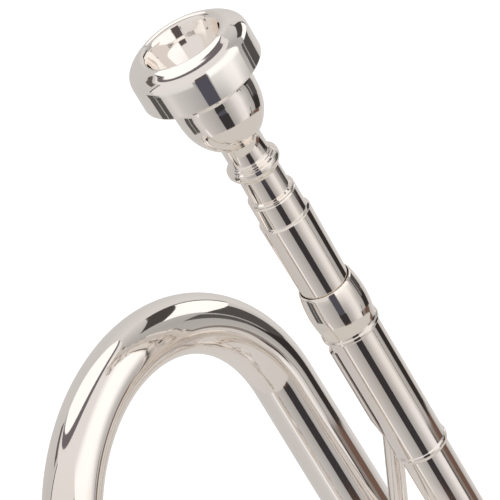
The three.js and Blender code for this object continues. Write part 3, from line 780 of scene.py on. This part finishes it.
BUTTON_BOTTOM = 24.6
BUTTON_HEIGHT = 4.2
SPRING_WIRE = 0.45 * MM
SPRING_TURNS = 5
for number in VALVES:
    place = lay_valve(number)
    body = f"valve_{number}"
    for node, finish in (("piston", piston_metal), ("valve_guide", nylon)):
        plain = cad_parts[f"{node}_{number}"]
        plain.data.materials.clear()
        plain.data.materials.append(finish)

    # The spring stands on the guide, and shortens as the piston goes down.
    spring_low, spring_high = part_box(f"valve_spring_{number}")
    coil_middle = (spring_low + spring_high) / 2
    coil_radius = (spring_high.z - spring_low.z) / 2 - SPRING_WIRE
    coil_low = spring_low.x + SPRING_WIRE
    coil_rise = spring_high.x - spring_low.x - 2 * SPRING_WIRE
    coil = []
    coil_steps = SPRING_TURNS * 24
    for step in range(coil_steps + 1):
        angle = math.radians(15 * step)
        coil.append(Vector((
            coil_low + coil_rise * step / coil_steps,
            coil_middle.y + coil_radius * math.cos(angle),
            coil_middle.z + coil_radius * math.sin(angle),
        )))
    shape = bmesh.new()
    draw_tube(shape, coil, [SPRING_WIRE] * len(coil), sides=10, side=Vector((1, 0, 0)))
    bmesh.ops.holes_fill(shape, edges=[edge for edge in shape.edges if edge.is_boundary])
    spring = finish_piece(
        f"spring_{number}_wound", shape, piston_metal, "frame",
        [f"valve_spring_{number}"], edge=0,
    )
    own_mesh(spring)

    shape = bmesh.new()
    turn(shape, [
        (0, -15.2), (2.3, -15.2), (2.3, -13.7), (3.6, -13.7), (3.6, -12), (2.3, -11.6),
        (2.3, BUTTON_BOTTOM), (0, BUTTON_BOTTOM),
    ], place, steps=40)
    finish_piece(f"stem_{number}_turned", shape, silver, body, [f"valve_stem_{number}"])

    top = BUTTON_BOTTOM + BUTTON_HEIGHT
    shape = bmesh.new()
    turn(shape, [
        (0, BUTTON_BOTTOM), (2.7, BUTTON_BOTTOM), (3.0, BUTTON_BOTTOM + 0.4), (4.4, BUTTON_BOTTOM + 1.0),
        (6.6, top - 2.3), (7.7, top - 1.7), (8.0, top - 1.1), (7.9, top - 0.4), (7.3, top), (6.7, top),
        (6.5, top - 0.9), (0, top - 0.9),
    ], place, steps=80)
    button = [f"finger_button_{number}"]
    finish_piece(f"button_{number}_turned", shape, silver, body, button)

    shape = bmesh.new()
    turn(shape, [
        (0, top - 0.85), (6.4, top - 0.85), (6.4, top - 0.15), (6.1, top - 0.05), (4, top - 0.3),
        (2, top - 0.45), (0, top - 0.5),
    ], place, steps=64)
    finish_piece(f"button_{number}_pearl", shape, pearl, body, button, edge=0.05)

    shape = bmesh.new()
    turn(shape, [
        (2.35, BUTTON_BOTTOM - 1.3), (4.4, BUTTON_BOTTOM - 1.3), (4.4, BUTTON_BOTTOM - 0.05),
        (2.35, BUTTON_BOTTOM - 0.05),
    ], place, steps=48, hollow=True)
    finish_piece(f"felt_{number}_washer", shape, felt, body, [f"valve_stem_{number}"], edge=0.25)

# ---- Link tubes ----
# Short knuckles join the casings and carry the air from one valve to the next.
for node, upper, lower in (
    ("link_tube_12_upper", 1, 2), ("link_tube_12_lower", 1, 2),
    ("link_tube_23_upper", 2, 3), ("link_tube_23_lower", 2, 3),
):
    shape = bmesh.new()
    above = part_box(node)[1].z / MM + 4
    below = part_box(node)[0].z / MM - 4
    place = stand_on(node, "top") @ Matrix.Translation((0, 0, 4 * MM))
    turn(shape, pipe_outline(5.6, 5.0, above - below), place, steps=48, hollow=True)
    cope(shape, f"valve_casing_{upper}", 2)
    cope(shape, f"valve_casing_{lower}", 2)
    finish_piece(f"{node}_drawn", shape, silver, "frame", [node])

# ---- Tuning slide ----
# The main tuning slide points to the bell. Like every slide it is a bent silver-plated hairpin
# whose lapped legs run inside two sleeves. A ferrule is soldered over each joint of the bend and
# stops on the sleeve's beaded mouth when the slide is closed.
LEG_RADIUS = 5.7
BEND_RADIUS = 6.0


def slide_crook(shape, start, bend_start, bend_end, end, mouth):
    """A hairpin with a ferrule on each leg from the bend to the sleeves' mouths."""
    leg_steps = 10
    path = hairpin(start, bend_start, bend_end, end, leg_steps=leg_steps)
    last = len(path) - 1
    radii = []
    for index in range(len(path)):
        in_bend = leg_steps <= index <= last - leg_steps
        radii.append((BEND_RADIUS if in_bend else LEG_RADIUS) * MM)
    draw_tube(shape, path, radii, sides=48)
    onward = (bend_start - start).normalized()
    turned = onward.to_track_quat("Z", "Y").to_matrix().to_4x4()
    for joint in (bend_start, bend_end):
        place = Matrix.Translation(joint) @ turned
        turn(shape, [
            (BEND_RADIUS - 0.1, 0.6), (BEND_RADIUS - 0.1, -mouth), (6.7, -mouth), (6.9, -mouth + 0.5),
            (6.9, -mouth + 1.6), (6.5, -mouth + 2.2), (6.4, -0.4), (6.3, 0.6),
        ], place, steps=64, hollow=True)


def sleeve_bead(shape, place, radius=6.5):
    """The thick ring at a sleeve's mouth."""
    turn(shape, [
        (radius - 0.4, 0), (radius + 0.25, 0), (radius + 0.4, 0.6), (radius + 0.4, 2.2),
        (radius + 0.25, 2.8), (radius - 0.4, 3.0),
    ], place, steps=64, hollow=True)


low_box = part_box("tuning_lower_sleeve")
casing_3 = axis_of("valve_casing_3")
shape = bmesh.new()
low_length = (casing_3.z - low_box[0].z) / MM - 2
low_top = Matrix.Translation(at_height(low_leg, casing_3.z - 2 * MM))
turn(shape, sleeve_outline(low_length), low_top, hollow=True)
cope(shape, "valve_casing_3", 2)
finish_piece("tuning_lower_sleeve_drawn", shape, silver, "frame", ["tuning_lower_sleeve"])
crook_low, crook_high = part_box("tuning_crook")
tuning_bend = crook_low.z + LEG_RADIUS * MM + (leadpipe_leg - low_leg).length / 2
shape = bmesh.new()
slide_crook(
    shape, at_height(leadpipe_leg, crook_high.z), at_height(leadpipe_leg, tuning_bend),
    at_height(low_leg, tuning_bend), at_height(low_leg, crook_high.z),
    (low_box[0].z - tuning_bend) / MM - 0.3,
)
finish_piece("tuning_crook_bent", shape, silver, "tuning_slide", ["tuning_crook"])

# ---- First slide ----
# A short silver-plated hairpin pointing to the player, in two sleeves soldered to the first casing.
# Its saddle for the left thumb is a strip bent to a U and soldered to the slide.
def slide_legs(node):
    """The axes of a slide's two legs, from the box of its crook."""
    low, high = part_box(node)
    middle = (low + high) / 2
    return (Vector((high.x - 6.5 * MM, middle.y, 0)), Vector((low.x + 6.5 * MM, middle.y, 0)))


first_high, first_low = slide_legs("first_slide_crook")
first_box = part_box("first_slide_crook")
first_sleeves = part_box("first_slide_sleeves")
casing_1 = axis_of("valve_casing_1")
first_bend = first_box[1].z - LEG_RADIUS * MM - (first_high - first_low).length / 2
shape = bmesh.new()
for leg in (first_high, first_low):
    length = (first_sleeves[1].z - casing_1.z) / MM - 2
    mouth_place = Matrix.Translation(at_height(leg, first_sleeves[1].z))
    turn(shape, pipe_outline(6.5, 6.05, length), mouth_place, hollow=True)
    sleeve_bead(shape, Matrix.Translation(at_height(leg, first_sleeves[1].z - 3 * MM)))
brace(shape, *reach_between(first_high, first_low, first_sleeves[1].z - 8 * MM, 6.2, 6.2), flange=2.6)
cope(shape, "valve_casing_1", 2)
finish_piece("first_sleeves_drawn", shape, silver, "frame", ["first_slide_sleeves"])
shape = bmesh.new()
slide_crook(
    shape, at_height(first_high, first_box[0].z), at_height(first_high, first_bend),
    at_height(first_low, first_bend), at_height(first_low, first_box[0].z),
    (first_bend - first_sleeves[1].z) / MM - 0.3,
)
finish_piece("first_crook_bent", shape, silver, "first_slide", ["first_slide_crook"])

STRAP = 0.7
saddle_low, saddle_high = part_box("thumb_saddle")
saddle_middle = (saddle_low + saddle_high) / 2
saddle_half = (saddle_high.y - saddle_low.y) / 2 - STRAP * MM
saddle_turn = saddle_low.x + STRAP * MM + saddle_half
saddle_path = [Vector((saddle_high.x, saddle_middle.y - saddle_half, saddle_middle.z))]
for step in range(33):
    angle = math.pi * step / 32
    saddle_path.append(Vector((
        saddle_turn - saddle_half * math.sin(angle),
        saddle_middle.y - saddle_half * math.cos(angle),
        saddle_middle.z,
    )))
saddle_path.append(Vector((saddle_high.x, saddle_middle.y + saddle_half, saddle_middle.z)))
shape = bmesh.new()
draw_tube(
    shape, saddle_path, [STRAP * MM] * len(saddle_path), sides=40, flat=6.4 / STRAP, side=Vector((0, 0, 1)),
)
bmesh.ops.holes_fill(shape, edges=[edge for edge in shape.edges if edge.is_boundary])
to_side = Matrix.Rotation(math.radians(90), 4, "Y")
foot_place = Matrix.Translation((saddle_low.x, saddle_middle.y, saddle_middle.z)) @ to_side
turn(shape, [(0, -1.2), (4.2, -1.0), (3.2, 0.2), (2.6, 1.0), (0, 1.0)], foot_place, steps=40)
finish_piece("thumb_saddle_bent", shape, silver, "first_slide", ["thumb_saddle"], edge=0)

# ---- Second slide ----
# The shortest hairpin points to the player's right, in two silver-plated sleeves soldered to the
# second casing. The knob it is pulled by is turned and soldered to the bend.
second_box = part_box("second_slide_crook")
second_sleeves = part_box("second_slide_sleeves")
casing_2 = axis_of("valve_casing_2")
second_high = Vector((second_box[1].x - 6.5 * MM, 0, casing_2.z))
second_low = Vector((second_box[0].x + 6.5 * MM, 0, casing_2.z))


def at_side(leg, side):
    """The point of a sideways leg that lies this far to the side."""
    return Vector((leg.x, side, leg.z))


KNOB_LENGTH = 6
second_bend = second_box[0].y + (KNOB_LENGTH + LEG_RADIUS) * MM + (second_high - second_low).length / 2
shape = bmesh.new()
to_right = Matrix.Rotation(math.radians(90), 4, "X")
for leg in (second_high, second_low):
    length = (casing_2.y - second_sleeves[0].y) / MM - 2
    sleeve_start = Matrix.Translation(at_side(leg, casing_2.y - 2 * MM)) @ to_right
    turn(shape, [(6.05, 0), (6.5, 0), (6.5, length), (6.05, length)], sleeve_start, hollow=True)
    sleeve_bead(shape, Matrix.Translation(at_side(leg, second_sleeves[0].y + 3 * MM)) @ to_right)
bridge = second_sleeves[0].y + 7 * MM
inset = Vector((6.2 * MM, 0, 0))
brace(shape, at_side(second_high, bridge) - inset, at_side(second_low, bridge) + inset, flange=2.6)
cope(shape, "valve_casing_2", 1)
finish_piece("second_sleeves_drawn", shape, silver, "frame", ["second_slide_sleeves"])
shape = bmesh.new()
slide_crook(
    shape, at_side(second_high, second_box[1].y), at_side(second_high, second_bend),
    at_side(second_low, second_bend), at_side(second_low, second_box[1].y),
    (second_sleeves[0].y - second_bend) / MM - 0.3,
)
crown = Vector(((second_high.x + second_low.x) / 2, second_box[0].y, casing_2.z))
knob_outline = [
    (0.0, 0), (1.6, 0.25), (2.8, 1.2), (3.0, 2.0), (2.4, 3.1), (1.5, 3.9), (1.5, 4.8), (2.6, 5.8),
    (3.0, 6.6),
]
to_left = Matrix.Rotation(math.radians(-90), 4, "X")
turn(shape, flow(knob_outline, 4), Matrix.Translation(crown) @ to_left, steps=48)
finish_piece("second_crook_bent", shape, silver, "second_slide", ["second_slide_crook"])

# ---- Third slide ----
# The longest valve slide points to the bell. Its two silver-plated sleeves turn through elbows into
# the third casing, and a ring for the left ring finger is soldered to the slide.
third_high, third_low = slide_legs("third_slide_crook")
third_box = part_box("third_slide_crook")
third_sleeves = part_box("third_slide_sleeves")
third_bend = third_box[0].z + LEG_RADIUS * MM + (third_high - third_low).length / 2
ELBOW = 8.5 * MM
shape = bmesh.new()
for leg in (third_high, third_low):
    path = [at_height(leg, third_sleeves[0].z), at_height(leg, casing_3.z - ELBOW - 4 * MM)]
    for step in range(17):
        angle = math.pi / 2 * step / 16
        path.append(Vector((
            leg.x, leg.y - ELBOW + ELBOW * math.cos(angle), casing_3.z - ELBOW + ELBOW * math.sin(angle),
        )))
    path.append(Vector((leg.x, casing_3.y + 2 * MM, casing_3.z)))
    draw_tube(shape, path, [6.5 * MM] * len(path), sides=64)
    sleeve_bead(shape, Matrix.Translation(at_height(leg, third_sleeves[0].z)))
brace(shape, *reach_between(third_high, third_low, third_sleeves[0].z + 8 * MM, 6.2, 6.2), flange=2.6)
cope(shape, "valve_casing_3", 1)
finish_piece("third_sleeves_bent", shape, silver, "frame", ["third_slide_sleeves"])
shape = bmesh.new()
slide_crook(
    shape, at_height(third_high, third_box[1].z), at_height(third_high, third_bend),
    at_height(third_low, third_bend), at_height(third_low, third_box[1].z),
    (third_sleeves[0].z - third_bend) / MM - 0.3,
)
finish_piece("third_crook_bent", shape, silver, "third_slide", ["third_slide_crook"])

ring_low, ring_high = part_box("third_slide_ring")
ring_middle = (ring_low + ring_high) / 2
ring_place = Matrix.Translation(ring_middle) @ Matrix.Rotation(math.radians(90), 4, "X")
shape = bmesh.new()
turn(shape, [
    (9.7, -2.6), (10.0, -3.0), (10.7, -3.0), (11.0, -2.6), (11.0, 2.6), (10.7, 3.0), (10.0, 3.0),
    (9.7, 2.6), (9.6, 0),
], ring_place, steps=96, hollow=True)
foot_place = Matrix.Translation((ring_low.x, ring_middle.y, ring_middle.z)) @ to_side
turn(shape, [(0, -1.2), (3.8, -1.0), (3.0, 0.2), (2.4, 1.4), (0, 1.4)], foot_place, steps=40)
finish_piece("finger_ring_turned", shape, silver, "third_slide", ["third_slide_ring"])

# ---- Pinky hook ----
# A flat strip bent into an open ring on top of the leadpipe sleeve, for the right little finger.
hook_low, hook_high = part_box("pinky_hook")
HOOK_RADIUS = 10.2 * MM
hook_centre = Vector((hook_low.x + 11 * MM, (hook_low.y + hook_high.y) / 2, hook_low.z + 11 * MM))
hook_path = []
for step in range(49):
    angle = math.radians(-104 + step * 5.2)
    opening = 1 + 0.12 * max(0, (step - 34) / 14) ** 2
    hook_path.append(hook_centre + Vector((math.sin(angle), 0, -math.cos(angle))) * HOOK_RADIUS * opening)
shape = bmesh.new()
draw_tube(shape, hook_path, [0.8 * MM] * len(hook_path), sides=40, flat=3.5 / 0.8, side=Vector((0, 1, 0)))
bmesh.ops.holes_fill(shape, edges=[edge for edge in shape.edges if edge.is_boundary])
wrap_plate(shape, leadpipe_leg, hook_centre.z, 6.45, 14, 0)
finish_piece("pinky_hook_bent", shape, silver, "frame", ["pinky_hook"], edge=0.1)

# ---- Water keys ----
# A sprung lever with a cork under one end shuts a short nipple on the bend. It turns on a pin
# between the two ears of a saddle.
PIVOT = 11.2
CORK_DROP = 11


def key_pieces(prefix, leg, outward, height, slide_body, key_body):
    out = outward.normalized()
    pivot_axis = Vector((0, 0, 1)).cross(out)
    turned = Matrix((out, pivot_axis, Vector((0, 0, 1)))).transposed().to_4x4()
    place = Matrix.Translation(at_height(leg, height)) @ turned
    to_out = Matrix.Rotation(math.radians(90), 4, "Y")
    along_pivot = Matrix.Rotation(math.radians(-90), 4, "X")

    at_pin = place @ Matrix.Translation((PIVOT * MM, 0, 0)) @ along_pivot
    at_cork = place @ Matrix.Translation((0, 0, -CORK_DROP * MM)) @ to_out

    shape = bmesh.new()
    for side in (-1, 1):
        ear = [(0, -0.45), (2.0, -0.45), (2.0, 0.45), (0, 0.45)]
        ear_spot = Matrix.Translation((PIVOT * MM, side * 3.7 * MM, 0))
        turn(shape, ear, place @ ear_spot @ along_pivot, steps=32)
        known = len(shape.verts)
        bmesh.ops.create_cube(shape, size=1)
        shape.verts.ensure_lookup_table()
        size = Matrix.Diagonal((5.4 * MM, 0.9 * MM, 3.6 * MM, 1))
        spot = Matrix.Translation((8.6 * MM, side * 3.7 * MM, 0))
        bmesh.ops.transform(shape, matrix=place @ spot @ size, verts=shape.verts[known:])
    turn(shape, [(0, -4.4), (0.8, -4.4), (0.8, 4.4), (0, 4.4)], at_pin, steps=24)
    nipple_place = place @ Matrix.Translation((-0.4 * MM, 0, -CORK_DROP * MM)) @ to_out
    turn(shape, [(1.4, 5.4), (2.6, 5.4), (2.4, 7.2), (1.4, 7.2)], nipple_place, steps=40, hollow=True)
    saddle = [f"{prefix}_key_saddle"]
    finish_piece(f"{prefix}_key_saddle_made", shape, silver, slide_body, saddle)

    shape = bmesh.new()
    bar = [
        (PIVOT - 0.2, -14), (PIVOT - 0.1, -9), (PIVOT + 0.5, -4), (PIVOT + 0.9, 0), (PIVOT + 0.7, 5),
        (PIVOT + 0.6, 10), (PIVOT + 1.2, 16),
    ]
    path = [place @ Vector((x * MM, 0, z * MM)) for x, z in flow(bar, 5)]
    draw_tube(shape, path, [0.7 * MM] * len(path), sides=32, flat=2.5 / 0.7, side=pivot_axis)
    bmesh.ops.holes_fill(shape, edges=[edge for edge in shape.edges if edge.is_boundary])
    turn(shape, [(1.1, -2.9), (1.7, -2.9), (1.7, 2.9), (1.1, 2.9)], at_pin, steps=32, hollow=True)
    turn(shape, [
        (0, PIVOT + 0.2), (3.0, PIVOT + 0.2), (3.0, PIVOT - 1.6), (2.5, PIVOT - 1.6), (2.5, PIVOT - 0.6),
        (0, PIVOT - 0.6),
    ], at_cork, steps=40)
    lever = [f"{prefix}_key_lever"]
    finish_piece(f"{prefix}_key_lever_bent", shape, silver, key_body, lever)

    shape = bmesh.new()
    turn(shape, [(0, 7.1), (2.4, 7.1), (2.4, PIVOT - 0.7), (0, PIVOT - 0.7)], at_cork, steps=40)
    finish_piece(f"{prefix}_key_cork_cut", shape, cork, key_body, [f"{prefix}_key_cork"], edge=0.2)


tuning_height = middle_height("tuning_key_saddle")
key_pieces("tuning", low_leg, low_leg - leadpipe_leg, tuning_height, "tuning_slide", "tuning_key")
third_height = middle_height("third_key_saddle")
key_pieces("third", third_low, Vector((-1, 0, 0)), third_height, "third_slide", "third_key")
